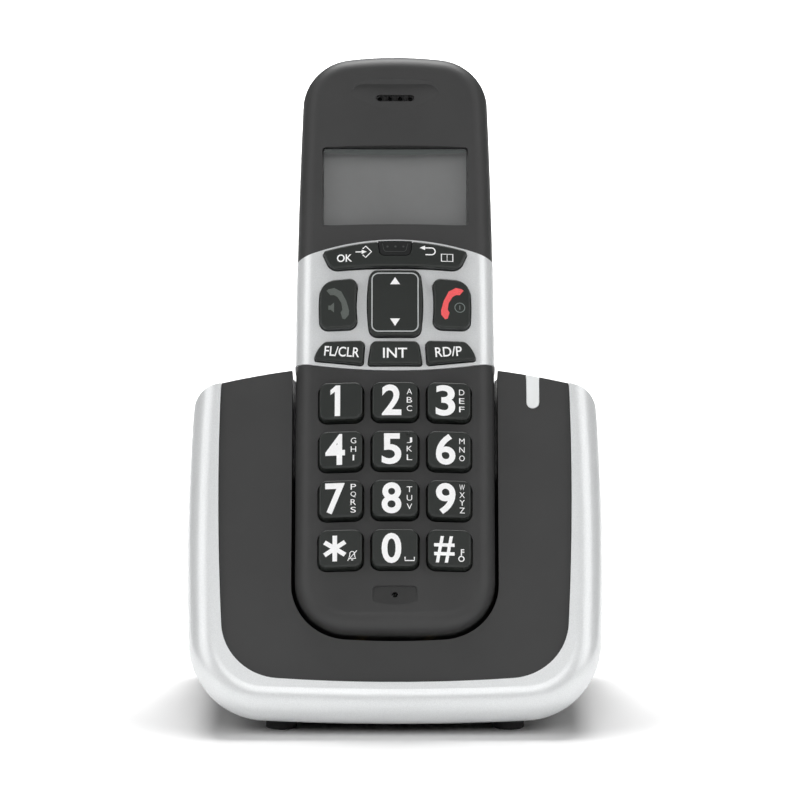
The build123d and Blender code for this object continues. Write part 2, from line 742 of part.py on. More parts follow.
FOOT_PLACES = [(x, y) for x in (-FOOT_X, FOOT_X) for y in (DOCK_Y - 1.6, DOCK_Y + 62.0)]
BASE_SCREWS = [(x, y) for x in (-32.3, 32.3) for y in (DOCK_Y + 10.0, DOCK_Y + 52.0)]


def rear_housing(form, hollow, space):
    shell = (form & docked(below(SPLIT_Z))) - hollow
    shell = shell - base_underside(SEAM)
    inner = docked(pocket(POCKET_WALL + SEAM) & above(-60))
    shell = shell - inner
    half, low = NOTCH
    shell = shell - docked(block(-half, half, low, FAR, -FAR, BACK_Z + 4))
    back = DOCK_Y + BASE_BACK
    for x in (-SOCKET_X, SOCKET_X):
        shell = shell - block(x - 6.6, x + 6.6, back - 8, back + 8, 4.9, 17.2)
    shell = shell - button_prism(0.2)
    shell = shell - docked(raised(light_outline(0.1), -4.2, 20))
    for x, y in BASE_SCREWS:
        gusset = block(min(x, 2 * x), max(x, 2 * x), y - 0.8, y + 0.8, 6.0, 16.0)
        shell = shell + (disc(2.8, x, y, 5.6, 16) + (gusset & hollow))
        shell = shell - disc(1.2, x, y, 0, 14)
    return one_solid(shell)


def button_prism(grow=0.0):
    """The paging button's outline on the rear face, drawn through the wall."""
    face = rounded_box(13.0 + 2 * grow, 7.0 + 2 * grow, 3.4 + grow, 0, BUTTON_Z)
    back = DOCK_Y + BASE_BACK
    return extrude(Plane.XZ.offset(-(back + 3)) * face, 12)


def paging_button():
    back = DOCK_Y + BASE_BACK
    cap = button_prism() & block(-FAR, FAR, back - 3.1, back + 0.9, -FAR, FAR)
    outer = [e for e in cap.edges() if e.bounding_box().min.Y > back + 0.85]
    cap = fillet(outer, 0.5)
    flange = block(-7.6, 7.6, back - 3.1, back - 2.25, BUTTON_Z - 4.6, BUTTON_Z + 4.6)
    return cap + flange


def bottom_plate(form, hollow):
    plate = (form & base_underside()) - hollow
    plate = plate & block(-FAR, FAR, -FAR, FAR, 0, 8)
    for x, y in FOOT_PLACES:
        plate = plate - disc(FOOT_RADIUS + 0.05, x, y, 0, 3.6)
        plate = plate + (disc(FOOT_RADIUS + 1.2, x, y, 3.6, 5.0) & form)
    for x, y in BASE_SCREWS:
        plate = plate + (disc(2.8, x, y, 3.0, 5.5) & form)
        plate = plate - disc(1.5, x, y, 0, 8) - disc(2.9, x, y, 0, 3.6)
    for k in range(7):
        x = -18 + 6 * k
        plate = plate - raised(Pos(x, DOCK_Y + 30) * Rot(0, 0, 90) * SlotOverall(22, 1.6), 0, 8)
    return one_solid(plate)


def feet():
    one = disc(FOOT_RADIUS, 0, 0, 0, 3.6)
    one = fillet(one.edges().sort_by(Axis.Z)[0], 0.5)
    return [Pos(x, y) * one for x, y in FOOT_PLACES]


def base_screws():
    one = screw(8.5, 1.18, 2.6, 1.2)
    return [Pos(x, y, 3.6) * one for x, y in BASE_SCREWS]


def light_pipe(form):
    bar = docked(raised(light_outline(), -4.0, PANEL_Z + 0.05)) & form
    return one_solid(bar)


def lamp_board():
    board = docked(block(LIGHT_X - 4, LIGHT_X + 4, 50, 61.5, -7.2, -6.2))
    return board + docked(block(LIGHT_X - 1.4, LIGHT_X + 1.4, 58.6, 61.4, -6.3, -4.5))


def base_board():
    board = raised(rounded_box(58, 42, 2, 0, DOCK_Y + 38.5), 7.0, 8.6)
    chips = ((-8, 30, 12, 12, 1.6), (12, 34, 8, 10, 1.8), (-22, 38, 8, 8, 7), (23, 34, 6, 6, 8))
    for x, y, width, depth, height in chips:
        board = board + Pos(x, DOCK_Y + y, 8.5 + height / 2) * Box(width, depth, height + 0.2)
    return board


def base_shield():
    y = DOCK_Y + 48
    return block(-12, 12, y - 7, y + 7, 8.65, 12) - block(-11.6, 11.6, y - 6.6, y + 6.6, 8, 11.6)


def modular_socket(x):
    """A modular jack: its plug goes in from the rear, with the latch below."""
    back = DOCK_Y + BASE_BACK - 0.4
    body = block(x - 6.5, x + 6.5, back - 15.5, back, 5.0, 17.1)
    body = body - block(x - 4.85, x + 4.85, back - 12.5, back + 1, 8.2, 14.8)
    body = body - block(x - 3.1, x + 3.1, back - 12.5, back + 1, 6.9, 8.3)
    body = body - block(x - 1.7, x + 1.7, back - 12.5, back + 1, 6.0, 7.0)
    for k in range(4):
        pin = x - 1.53 + 1.02 * k
        body = body + block(pin - 0.2, pin + 0.2, back - 12.6, back - 3, 14.0, 14.9)
    return body


def charge_contact(x):
    """A spring-loaded contact, with the shoulder that stops it under the cradle's floor."""
    high, shoulder = CHIN_Y - 0.1, POCKET_FLOOR - POCKET_WALL - 0.4
    post = block(x - 1.2, x + 1.2, shoulder - 3.2, high, -4.0, -1.6)
    tip = [e for e in post.edges() if e.bounding_box().min.Y > high - 0.1]
    post = fillet(tip, 0.6)
    return post + block(x - 2.2, x + 2.2, shoulder - 1.0, shoulder, -4.9, -0.7)


# ---- building ---------------------------------------------------------------------------------------

def handset_parts():
    form, hollow = handset_form(), handset_form(WALL)
    shell = front_shell(form, hollow)
    parts = {
        "handset_upper_cover": upper_cover(shell),
        "handset_lower_cover": lower_cover(shell),
        "handset_silver_band": silver_band(hollow),
        "handset_rear_cover": rear_cover(form, hollow),
        "battery_door": battery_door(form),
        "display_lens": display_lens(),
        "lcd_panel": lcd_panel(),
        "lcd_frame": lcd_frame(),
        "handset_circuit_board": handset_board(),
        "handset_shield_can": shield_can(),
        "keypad_mat": keypad_mat(),
        "message_lamp": message_lamp(),
        "earpiece_speaker": earpiece(),
        "loudspeaker": loudspeaker(),
        "microphone": microphone(),
        "microphone_boot": microphone_boot(),
        "battery_cells": battery_cells(),
        "battery_springs": cell_springs(),
        "battery_plates": cell_plates(),
        "handset_charge_pads": charge_pads(),
        "handset_screws": handset_screws(),
    }
    parts.update(all_keys())
    return parts


def base_parts():
    form, hollow, space = base_form(), base_form(WALL), pocket()
    return {
        "base_front_cover": base_front_cover(form, hollow, space),
        "base_silver_frame": base_frame(form, hollow),
        "base_rear_housing": rear_housing(form, hollow, space),
        "base_bottom_plate": bottom_plate(form, hollow),
        "base_feet": feet(),
        "base_screws": base_screws(),
        "base_light_pipe": light_pipe(form),
        "base_lamp_board": lamp_board(),
        "base_circuit_board": base_board(),
        "base_shield_can": base_shield(),
        "line_socket": modular_socket(SOCKET_X),
        "power_socket": modular_socket(-SOCKET_X),
        "paging_button": paging_button(),
        "charge_contact_left": docked(charge_contact(-PAD_X)),
        "charge_contact_right": docked(charge_contact(PAD_X)),
    }


def write(name, shape):
    solids = []
    for piece in (shape if isinstance(shape, list) else [shape]):
        solids += piece.solids()
    export_step(Compound(children=solids) if len(solids) > 1 else solids[0], f"parts/{name}.step")


def main():
    os.makedirs("parts", exist_ok=True)
    for name, shape in handset_parts().items():
        pieces = shape if isinstance(shape, list) else [shape]
        write(name, [docked(piece) for piece in pieces])
    for name, shape in base_parts().items():
        write(name, shape)


main()
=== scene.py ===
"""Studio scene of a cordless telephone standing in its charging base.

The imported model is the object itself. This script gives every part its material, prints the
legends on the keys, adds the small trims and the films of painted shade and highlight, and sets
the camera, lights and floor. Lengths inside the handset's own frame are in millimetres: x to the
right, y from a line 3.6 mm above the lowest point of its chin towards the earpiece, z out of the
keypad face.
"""

import math

import bmesh
import bpy
from mathutils import Matrix, Vector
from mathutils.bvhtree import BVHTree


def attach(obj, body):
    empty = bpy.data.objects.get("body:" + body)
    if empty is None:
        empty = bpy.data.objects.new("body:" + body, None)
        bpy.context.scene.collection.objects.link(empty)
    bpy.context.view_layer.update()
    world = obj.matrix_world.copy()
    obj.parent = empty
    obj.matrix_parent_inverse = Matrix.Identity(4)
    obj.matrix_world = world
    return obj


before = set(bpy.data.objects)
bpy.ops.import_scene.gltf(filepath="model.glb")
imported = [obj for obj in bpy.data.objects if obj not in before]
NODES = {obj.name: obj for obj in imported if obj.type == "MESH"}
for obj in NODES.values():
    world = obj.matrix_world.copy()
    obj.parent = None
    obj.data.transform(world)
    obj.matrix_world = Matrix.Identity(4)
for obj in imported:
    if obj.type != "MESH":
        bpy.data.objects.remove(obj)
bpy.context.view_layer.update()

MM = 0.001
LEAN = 28.0                     # the docked handset leans back from upright by this, in degrees
UPRIGHT = math.radians(90 - LEAN)
DOCK_Y, DOCK_Z = -33.66, 25.3   # where the handset's own origin stands in the row frame
TO_ROW = Matrix.Translation((0, DOCK_Y * MM, DOCK_Z * MM)) @ Matrix.Rotation(UPRIGHT, 4, "X")
OUTWARD = TO_ROW.to_3x3() @ Vector((0, 0, 1))


def in_row(x, y, z):
    """A point of the handset's frame, in millimetres, as a point of the row frame."""
    return TO_ROW @ Vector((x * MM, y * MM, z * MM))


# ---- materials -----------------------------------------------------------------------------

class Shader:
    """A principled material with a few short ways to add nodes to it."""

    def __init__(self, name, roughness, metallic=0.0, specular=0.5):
        self.material = bpy.data.materials.new(name)
        self.material.use_nodes = True
        self.tree = self.material.node_tree
        self.surface = self.tree.nodes["Principled BSDF"]
        self.surface.inputs["Roughness"].default_value = roughness
        self.surface.inputs["Metallic"].default_value = metallic
        self.surface.inputs["Specular IOR Level"].default_value = specular
        self.place = self.tree.nodes.new("ShaderNodeTexCoord").outputs["Object"]

    def link(self, output, socket):
        self.tree.links.new(output, self.surface.inputs[socket])

    def coat(self, weight, roughness):
        self.surface.inputs["Coat Weight"].default_value = weight
        self.surface.inputs["Coat Roughness"].default_value = roughness

    def along_handset(self):
        """The object's coordinates, turned to lie along the handset."""
        mapping = self.tree.nodes.new("ShaderNodeMapping")
        mapping.inputs["Rotation"].default_value = (-UPRIGHT, 0, 0)
        self.tree.links.new(self.place, mapping.inputs["Vector"])
        return mapping.outputs["Vector"]

    def noise(self, size_mm, detail=3.0, place=None):
        """Noise of this size at the object's coordinates, or at a place of its own."""
        node = self.tree.nodes.new("ShaderNodeTexNoise")
        node.inputs["Scale"].default_value = 1 / (size_mm * MM)
        node.inputs["Detail"].default_value = detail
        self.tree.links.new(place or self.place, node.inputs["Vector"])
        return node.outputs["Fac"]

    def ramp(self, value, stops):
        """A value turned into colour; stops are pairs of a position and a colour."""
        node = self.tree.nodes.new("ShaderNodeValToRGB")
        marks = node.color_ramp.elements
        while len(marks) < len(stops):
            marks.new(0.5)
        for mark, (at, colour) in zip(marks, stops):
            mark.position = at
            mark.color = (*colour, 1.0)
        self.tree.links.new(value, node.inputs["Fac"])
        return node.outputs["Color"]

    def between(self, value, low, high):
        """A value from 0 to 1 spread between two others."""
        node = self.tree.nodes.new("ShaderNodeMapRange")
        node.inputs["To Min"].default_value = low
        node.inputs["To Max"].default_value = high
        self.tree.links.new(value, node.inputs["Value"])
        return node.outputs["Result"]

    def bump(self, value, height_mm, strength=1.0):
        node = self.tree.nodes.new("ShaderNodeBump")
        node.inputs["Distance"].default_value = height_mm * MM
        node.inputs["Strength"].default_value = strength
        self.tree.links.new(value, node.inputs["Height"])
        self.link(node.outputs["Normal"], "Normal")


def tint(colour, factor):
    """The colour made lighter or darker by a factor."""
    return tuple(min(1.0, c * factor) for c in colour)


def moulded_plastic(name, colour, roughness, grain_mm, grain_height, specular=0.5):
    """Injection-moulded plastic: a fine spark-eroded grain, slightly uneven colour and gloss."""
    shader = Shader(name, roughness, specular=specular)
    broad = shader.noise(18.0, 4.0)
    fine = shader.noise(grain_mm, 2.0)
    shades = [(0.3, tint(colour, 0.93)), (0.7, tint(colour, 1.07))]
    shader.link(shader.ramp(broad, shades), "Base Color")
    shader.link(shader.between(broad, roughness - 0.04, roughness + 0.04), "Roughness")
    shader.bump(fine, grain_height, 0.6)
    return shader.material


def pearl_lacquer(name, colour, roughness):
    """Silver lacquer: tiny flakes under a thin clear coat."""
    shader = Shader(name, roughness, metallic=0.3)
    flakes = shader.noise(0.22, 1.0)
    broad = shader.noise(30.0, 3.0)
    shades = [(0.35, tint(colour, 0.95)), (0.65, tint(colour, 1.04))]
    shader.link(shader.ramp(flakes, shades), "Base Color")
    shader.link(shader.between(broad, roughness - 0.03, roughness + 0.04), "Roughness")
    shader.bump(flakes, 0.004, 0.4)
    shader.coat(0.35, 0.12)
    return shader.material


def print_and_painted_light_ink(name, colour, patchiness=0.06):
    """Screen-printed ink, a little thinner in places; the films of painted shade and highlight use it
    too.
    """
    shader = Shader(name, 0.45, specular=0.35)
    film = shader.noise(0.35, 3.0)
    low, high = tint(colour, 1 - patchiness), tint(colour, 1 + patchiness)
    shader.link(shader.ramp(film, [(0.35, low), (0.65, high)]), "Base Color")
    shader.bump(film, 0.006, 0.5)
    return shader.material


def metal(name, colour, roughness):
    """Plated metal, finely mottled."""
    shader = Shader(name, roughness, metallic=1.0)
    marks = shader.noise(0.4, 4.0, shader.along_handset())
    shades = [(0.3, tint(colour, 0.86)), (0.7, tint(colour, 1.08))]
    shader.link(shader.ramp(marks, shades), "Base Color")
    shader.link(shader.between(marks, roughness - 0.07, roughness + 0.1), "Roughness")
    shader.bump(marks, 0.006, 0.5)
    return shader.material


def rubber(name, colour):
    """Matt rubber with a coarse grain; the black film of painted shade in the holes uses it too."""
    shader = Shader(name, 0.78, specular=0.3)
    grain = shader.noise(0.5, 5.0)
    shades = [(0.3, tint(colour, 0.8)), (0.7, tint(colour, 1.25))]
    shader.link(shader.ramp(grain, shades), "Base Color")
    shader.link(shader.between(grain, 0.7, 0.88), "Roughness")
    shader.bump(grain, 0.03, 0.7)
    return shader.material


def clear_window(name):
    """The hard-coated window over the display: thin, clear and glossy."""
    shader = Shader(name, 0.06, specular=0.5)
    haze = shader.noise(9.0, 3.0)
    shades = [(0.3, (0.16, 0.165, 0.165)), (0.7, (0.19, 0.195, 0.195))]
    shader.link(shader.ramp(haze, shades), "Base Color")
    shader.link(shader.between(haze, 0.05, 0.12), "Roughness")
    shader.surface.inputs["Alpha"].default_value = 0.35
    return shader.material


def crystal_display(name):
    """A blank reflective display: warm grey, with the faint grid of its dots."""
    dot_pitch, dot_gap = 0.42, 0.03
    shader = Shader(name, 0.38, specular=0.4)
    broad = shader.noise(25.0, 2.0)
    grid = shader.tree.nodes.new("ShaderNodeTexBrick")
    grid.offset = 0.0
    grid.inputs["Scale"].default_value = 1000.0
    grid.inputs["Brick Width"].default_value = dot_pitch
    grid.inputs["Row Height"].default_value = dot_pitch
    grid.inputs["Mortar Size"].default_value = dot_gap
    grid.inputs["Color1"].default_value = (0.72, 0.72, 0.718, 1)
    grid.inputs["Color2"].default_value = (0.70, 0.70, 0.698, 1)
    grid.inputs["Mortar"].default_value = (0.64, 0.64, 0.638, 1)
    shader.tree.links.new(shader.along_handset(), grid.inputs["Vector"])
    shader.link(grid.outputs["Color"], "Base Color")
    shader.link(shader.between(broad, 0.32, 0.44), "Roughness")
    return shader.material


def milky_plastic(name, colour):
    """Translucent white plastic that spreads the light of a lamp behind it."""
    shader = Shader(name, 0.3)
    cloud = shader.noise(3.0, 3.0)
    shader.link(shader.ramp(cloud, [(0.3, tint(colour, 0.96)), (0.7, colour)]), "Base Color")
    shader.link(shader.between(cloud, 0.24, 0.36), "Roughness")
    shader.surface.inputs["Subsurface Weight"].default_value = 0.4
    shader.surface.inputs["Subsurface Radius"].default_value = (0.003, 0.003, 0.003)
    return shader.material


def circuit_board(name):
    """Green solder mask with lighter copper tracks showing through."""
    shader = Shader(name, 0.3)
    tracks = shader.tree.nodes.new("ShaderNodeTexVoronoi")
    tracks.distance = "MANHATTAN"
    tracks.feature = "DISTANCE_TO_EDGE"
    tracks.inputs["Scale"].default_value = 320.0
    shader.tree.links.new(shader.place, tracks.inputs["Vector"])
    mask, copper = (0.012, 0.10, 0.035), (0.05, 0.22, 0.08)
    shader.link(shader.ramp(tracks.outputs["Distance"], [(0.02, mask), (0.06, copper)]), "Base Color")
    shader.bump(tracks.outputs["Distance"], 0.03, 0.3)
    return shader.material


def cell_wrap(name):
    """A rechargeable cell's printed sleeve: bands of colour round it."""
    middle, half_length = 76.5, 0.0225
    shader = Shader(name, 0.25)
    turn = shader.tree.nodes.new("ShaderNodeMapping")
    turn.vector_type = "TEXTURE"
    turn.inputs["Location"].default_value = in_row(0, middle, 0)
    turn.inputs["Rotation"].default_value = (UPRIGHT, 0, 0)
    split = shader.tree.nodes.new("ShaderNodeSeparateXYZ")
    shader.tree.links.new(shader.place, turn.inputs["Vector"])
    shader.tree.links.new(turn.outputs["Vector"], split.inputs["Vector"])
    along = shader.tree.nodes.new("ShaderNodeMapRange")
    along.inputs["From Min"].default_value = -half_length
    along.inputs["From Max"].default_value = half_length
    shader.tree.links.new(split.outputs["Y"], along.inputs["Value"])
    steel, green, white = (0.5, 0.5, 0.5), (0.02, 0.20, 0.10), (0.75, 0.76, 0.74)
    stops = [
        (0.0, steel), (0.02, green), (0.30, green), (0.31, white),
        (0.34, white), (0.35, green), (0.97, green), (0.98, steel),
    ]
    shader.link(shader.ramp(along.outputs["Result"], stops), "Base Color")
    gloss = shader.noise(4.0, 2.0)
    shader.link(shader.between(gloss, 0.2, 0.34), "Roughness")
    return shader.material


CASING = moulded_plastic("dark casing", (0.037, 0.037, 0.037), 0.50, 0.30, 0.010, specular=0.45)
REAR = moulded_plastic("dark casing with coarser grain", (0.036, 0.036, 0.036), 0.50, 0.42, 0.022)
KEYS = moulded_plastic("key plastic", (0.017, 0.020, 0.018), 0.38, 0.22, 0.006, specular=0.42)
INNER = moulded_plastic("inner plastic", (0.03, 0.03, 0.03), 0.55, 0.5, 0.02)
SOCKETS = moulded_plastic("socket plastic", (0.05, 0.05, 0.052), 0.30, 0.5, 0.006)
SILVER = pearl_lacquer("silver lacquer", (0.79, 0.805, 0.81), 0.36)
STEEL = metal("tinned steel", (0.62, 0.62, 0.60), 0.30)
SCREWS = metal("zinc screws", (0.46, 0.46, 0.45), 0.34)
GOLD = metal("gold contacts", (0.80, 0.58, 0.27), 0.24)
SPEAKER = metal("speaker steel", (0.36, 0.36, 0.36), 0.42)
FOOT = rubber("foot rubber", (0.03, 0.03, 0.03))
MAT = rubber("silicone mat", (0.16, 0.16, 0.165))
WINDOW = clear_window("display window")
DISPLAY = crystal_display("display panel")
LAMP = moulded_plastic("smoked lamp window", (0.020, 0.021, 0.021), 0.22, 0.3, 0.003)
PIPE = milky_plastic("light pipe", (0.90, 0.92, 0.92))
BOARD = circuit_board("circuit board")
CELLS = cell_wrap("cell sleeve")
WHITE_INK = print_and_painted_light_ink("white print", (0.97, 0.97, 0.97), 0.03)
GREEN_INK = print_and_painted_light_ink("talk symbol print", (0.105, 0.118, 0.108))
RED_INK = print_and_painted_light_ink("red print", (0.92, 0.115, 0.12))
RING_INK = print_and_painted_light_ink("silver ring print", (0.50, 0.52, 0.52))
DIM_INK = print_and_painted_light_ink("grey print", (0.20, 0.23, 0.22))
# A near-black film laid behind the earpiece and microphone holes: painted shade in the holes.
HOLE_SHADE = rubber("black painted hole shade", (0.008, 0.008, 0.008))
# Dark ink: the printed edge of the display window, and painted shade on the floor of the ear slot.
DARK_PRINT_AND_SLOT_SHADE_INK = print_and_painted_light_ink("dark print and painted slot shade", (0.016, 0.016, 0.016))
# Painted shade: the darker strip under the display window's upper rim.
RIM_SHADE_INK = print_and_painted_light_ink("grey-green painted rim shade", (0.085, 0.095, 0.092))
# Faint lighter ink on the lamp: a painted highlight along its rim, and its three dots.
LAMP_HIGHLIGHT_AND_DOT_INK = print_and_painted_light_ink("faint print and painted rim highlight", (0.045, 0.048, 0.047))

MATERIALS = {
    "handset_upper_cover": CASING,
    "handset_lower_cover": CASING,
    "handset_rear_cover": REAR,
    "battery_door": REAR,
    "base_front_cover": CASING,
    "base_rear_housing": REAR,
    "base_bottom_plate": INNER,
    "handset_silver_band": SILVER,
    "base_silver_frame": SILVER,
    "display_lens": WINDOW,
    "lcd_panel": DISPLAY,
    "lcd_frame": STEEL,
    "handset_circuit_board": BOARD,
    "base_circuit_board": BOARD,
    "base_lamp_board": BOARD,
    "handset_shield_can": STEEL,
    "base_shield_can": STEEL,
    "keypad_mat": MAT,
    "message_lamp": LAMP,
    "earpiece_speaker": SPEAKER,
    "loudspeaker": SPEAKER,
    "microphone": STEEL,
    "microphone_boot": FOOT,
    "battery_cells": CELLS,
    "battery_springs": STEEL,
    "battery_plates": STEEL,
    "handset_charge_pads": GOLD,
    "charge_contact_left": GOLD,
    "charge_contact_right": GOLD,
    "handset_screws": SCREWS,
    "base_screws": SCREWS,
    "base_feet": FOOT,
    "base_light_pipe": PIPE,
    "line_socket": SOCKETS,
    "power_socket": SOCKETS,
}


def dress_nodes():
    """Every CAD node takes its material; anything not listed is one of the keys."""
    for name, node in NODES.items():
        material = MATERIALS.get(name, KEYS)
        node.data.materials.clear()
        node.data.materials.append(material)


# ---- printed legends -----------------------------------------------------------------------

INK_LIFT = 0.03                 # ink stands this far above the plastic
ABOVE_FACE = 40                 # prints are dropped onto a face from this height
FACE_HEIGHT = 12.5              # and beside an opening they take the nearest point to this one
LONGEST_EDGE = 1.2              # longer edges are cut, so that a print lies on a curved key
THIN, MEDIUM, BOLD = -0.002, 0.012, 0.022   # how far a letter's outline is moved out
KEY_X = (-14.05, 0.0, 14.05)
ROW_Y = (58.4, 44.9, 31.4, 17.9)
DIGIT_SHIFT = (-1.5, -0.9, -0.9)
LETTER_SHIFT = (3.25, 3.75, 3.35)
DIGIT_SIZE = (5.1, 8.5)
LETTER_WIDTH, LETTER_HEIGHT = 1.4, 1.55
KEY_LETTERS = {
    "1": "", "2": "ABC", "3": "DEF", "4": "GHI", "5": "JKL",
    "6": "MNO", "7": "PQRS", "8": "TUV", "9": "WXYZ",
}


def curve_mesh(data):
    """The filled faces of a flat curve or a text, as a new mesh."""
    holder = bpy.data.objects.new("drawing", data)
    bpy.context.scene.collection.objects.link(holder)
    graph = bpy.context.evaluated_depsgraph_get()
    mesh = bpy.data.meshes.new_from_object(holder.evaluated_get(graph))
    bpy.data.objects.remove(holder)
    return mesh


def fitted(mesh, x, y, width, height, turn=0.0):
    """The mesh scaled to width by height, turned, and centred on x, y."""
    xs = [v.co.x for v in mesh.vertices]
    ys = [v.co.y for v in mesh.vertices]
    middle = Vector(((min(xs) + max(xs)) / 2, (min(ys) + max(ys)) / 2, 0))
    scale = Matrix.Diagonal((width / (max(xs) - min(xs)), height / (max(ys) - min(ys)), 1, 1))
    turned = Matrix.Rotation(math.radians(turn), 4, "Z")
    mesh.transform(Matrix.Translation((x, y, 0)) @ turned @ scale @ Matrix.Translation(-middle))
    return mesh


def letters(text, x, y, width, height, weight, turn=0.0):
    """Text in the default typeface, stretched to the given width and height."""
    data = bpy.data.curves.new("letters", "FONT")
    data.body = text
    data.offset = weight
    data.resolution_u = 5
    return fitted(curve_mesh(data), x, y, width, height, turn)


def column(text, x, y, pitch):
    """Small letters one above the other, centred on y."""
    top = y + (len(text) - 1) * pitch / 2
    shapes = []
    for k, letter in enumerate(text):
        width = LETTER_WIDTH * (0.3 if letter == "I" else 1.0)
        shapes.append(letters(letter, x, top - k * pitch, width, LETTER_HEIGHT, THIN))
    return shapes


def filled(*loops):
    """A flat mesh filling closed loops of points; a loop inside another is a hole."""
    data = bpy.data.curves.new("loops", "CURVE")
    data.dimensions = "2D"
    data.fill_mode = "BOTH"
    for loop in loops:
        spline = data.splines.new("POLY")
        spline.points.add(len(loop) - 1)
        for point, (x, y) in zip(spline.points, loop):
            point.co = (x, y, 0, 1)
        spline.use_cyclic_u = True
    return curve_mesh(data)


def stroke(points, width, closed=False):
    """A line of even width through the points."""
    count = len(points)
    sides = ([], [])
    for k, (x, y) in enumerate(points):
        before = points[k - 1] if closed or k else points[k]
        after = points[(k + 1) % count] if closed or k < count - 1 else points[k]
        along = (Vector(after) - Vector(before)).normalized()
        across = Vector((-along.y, along.x)) * width / 2
        sides[0].append((x + across.x, y + across.y))
        sides[1].append((x - across.x, y - across.y))
    if closed:
        return filled(*sides)
    return filled(sides[0] + sides[1][::-1])


def arc(x, y, radius, start, end, steps):
    """Points round a centre from one angle to another, in degrees."""
    found = []
    for k in range(steps + 1):
        angle = math.radians(start + (end - start) * k / steps)
        found.append((x + radius * math.cos(angle), y + radius * math.sin(angle)))
    return found


def circle(x, y, radius, steps):
    """The points of a whole circle, the first not repeated at the end."""
    return arc(x, y, radius, 0, 360, steps)[:-1]


def joined(shapes):
    """One bmesh of several flat meshes, cut finely enough to lie on a curved key."""
    work = bmesh.new()
    for shape in shapes:
        work.from_mesh(shape)
    bmesh.ops.remove_doubles(work, verts=work.verts, dist=1e-4)
    bmesh.ops.triangulate(work, faces=work.faces)
    long_edges = [e for e in work.edges if e.calc_length() > LONGEST_EDGE]
    bmesh.ops.subdivide_edges(work, edges=long_edges, cuts=2, use_grid_fill=False)
    bmesh.ops.triangulate(work, faces=work.faces)
    return work


def printed(name, node, body, ink, shapes, lift=INK_LIFT):
    """Lays flat shapes on the face of a node as a film of ink, of painted shade or of painted
    highlight, and has it ride with the body.
    """
    graph = bpy.context.evaluated_depsgraph_get()
    surface = BVHTree.FromObject(NODES[node], graph)
    work = joined(shapes)
    for vert in work.verts:
        above = in_row(vert.co.x, vert.co.y, ABOVE_FACE)
        hit = surface.ray_cast(above, -OUTWARD)[0]
        if hit is None:
            hit = surface.find_nearest(in_row(vert.co.x, vert.co.y, FACE_HEIGHT))[0]
        vert.co = hit + OUTWARD * lift * MM
    for face in work.faces:
        face.normal_update()
        if face.normal.dot(OUTWARD) < 0:
            face.normal_flip()
    mesh = bpy.data.meshes.new(name)
    work.to_mesh(mesh)
    work.free()
    mesh.materials.append(ink)
    piece = bpy.data.objects.new(name, mesh)
    bpy.context.scene.collection.objects.link(piece)
    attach(piece, body)


def figure_one(x, y):
    """A plain one: an upright stem with a short slanting flag."""
    half = DIGIT_SIZE[1] / 2
    stem = [(1.25, -half), (1.25, half), (0.15, half)]
    flag = [(-1.3, half - 1.3), (-1.3, half - 2.6), (-0.15, half - 1.75), (-0.15, -half)]
    return filled([(x + px, y + py) for px, py in stem + flag])


def star(x, y, size, width):
    """Three crossed bars, a little narrower than high."""
    narrowing = 0.88
    bars = []
    for angle in (30, 90, 150):
        dx = narrowing * size / 2 * math.cos(math.radians(angle))
        dy = size / 2 * math.sin(math.radians(angle))
        bars.append(stroke([(x - dx, y - dy), (x + dx, y + dy)], width))
    return bars


def print_digits():
    """The white figures, with their small letters in a column at the right."""
    for figure, small in KEY_LETTERS.items():
        row, col = divmod(int(figure) - 1, 3)
        x, y = KEY_X[col], ROW_Y[row]
        if figure == "1":
            shapes = [figure_one(x + DIGIT_SHIFT[col], y)]
        else:
            shapes = [letters(figure, x + DIGIT_SHIFT[col], y, *DIGIT_SIZE, BOLD)]
        pitch = 2.1 if len(small) == 4 else 2.35
        shapes += column(small, x + LETTER_SHIFT[col], y, pitch)
        printed(f"legend_{figure}", f"key_{figure}", f"key_{figure}", WHITE_INK, shapes)


def bell_with_stroke(x, y):
    """A small bell with a line through it."""
    bell = [(x - 1.0, y - 0.8), (x - 0.7, y - 0.3), (x - 0.6, y + 0.3)]
    bell += arc(x, y + 0.5, 0.6, 180, 0, 8)
    bell += [(x + 0.6, y + 0.3), (x + 0.7, y - 0.3), (x + 1.0, y - 0.8)]
    clapper = stroke([(x - 0.25, y - 1.2), (x + 0.25, y - 1.2)], 0.25)
    slash = stroke([(x + 1.2, y + 1.3), (x - 1.2, y - 1.4)], 0.2)
    return [stroke(bell, 0.2, closed=True), clapper, slash]


def small_key(x, y):
    """A small upright key: its bow below, its bit above."""
    bow = stroke(circle(x, y - 0.95, 0.68, 16), 0.28, closed=True)
    bits = [stroke([(x, y + h), (x + 0.75, y + h)], 0.28) for h in (1.55, 0.9)]
    return [bow, stroke([(x, y - 0.25), (x, y + 1.7)], 0.3)] + bits


def space_mark(x, y):
    """A low open tray, the sign for a space."""
    return stroke([(x - 1.2, y + 1.0), (x - 1.2, y), (x + 1.2, y), (x + 1.2, y + 1.0)], 0.3)


def print_bottom_row():
    """The star, nought and square keys, each with its small symbol."""
    left, middle, right = KEY_X
    y = ROW_Y[3]
    shapes = star(left - 1.5, y - 0.1, 7.0, 1.2) + bell_with_stroke(left + 3.0, y - 2.1)
    printed("legend_star", "key_star", "key_star", WHITE_INK, shapes)
    zero = [letters("0", middle - 0.9, y - 0.2, 5.1, 8.2, BOLD), space_mark(middle + 3.8, y - 3.6)]
    printed("legend_0", "key_0", "key_0", WHITE_INK, zero)
    square = [letters("#", right - 1.3, y - 0.4, 5.3, 7.2, MEDIUM)]
    square += small_key(right + 3.1, y - 1.9)
    printed("legend_hash", "key_hash", "key_hash", WHITE_INK, square)


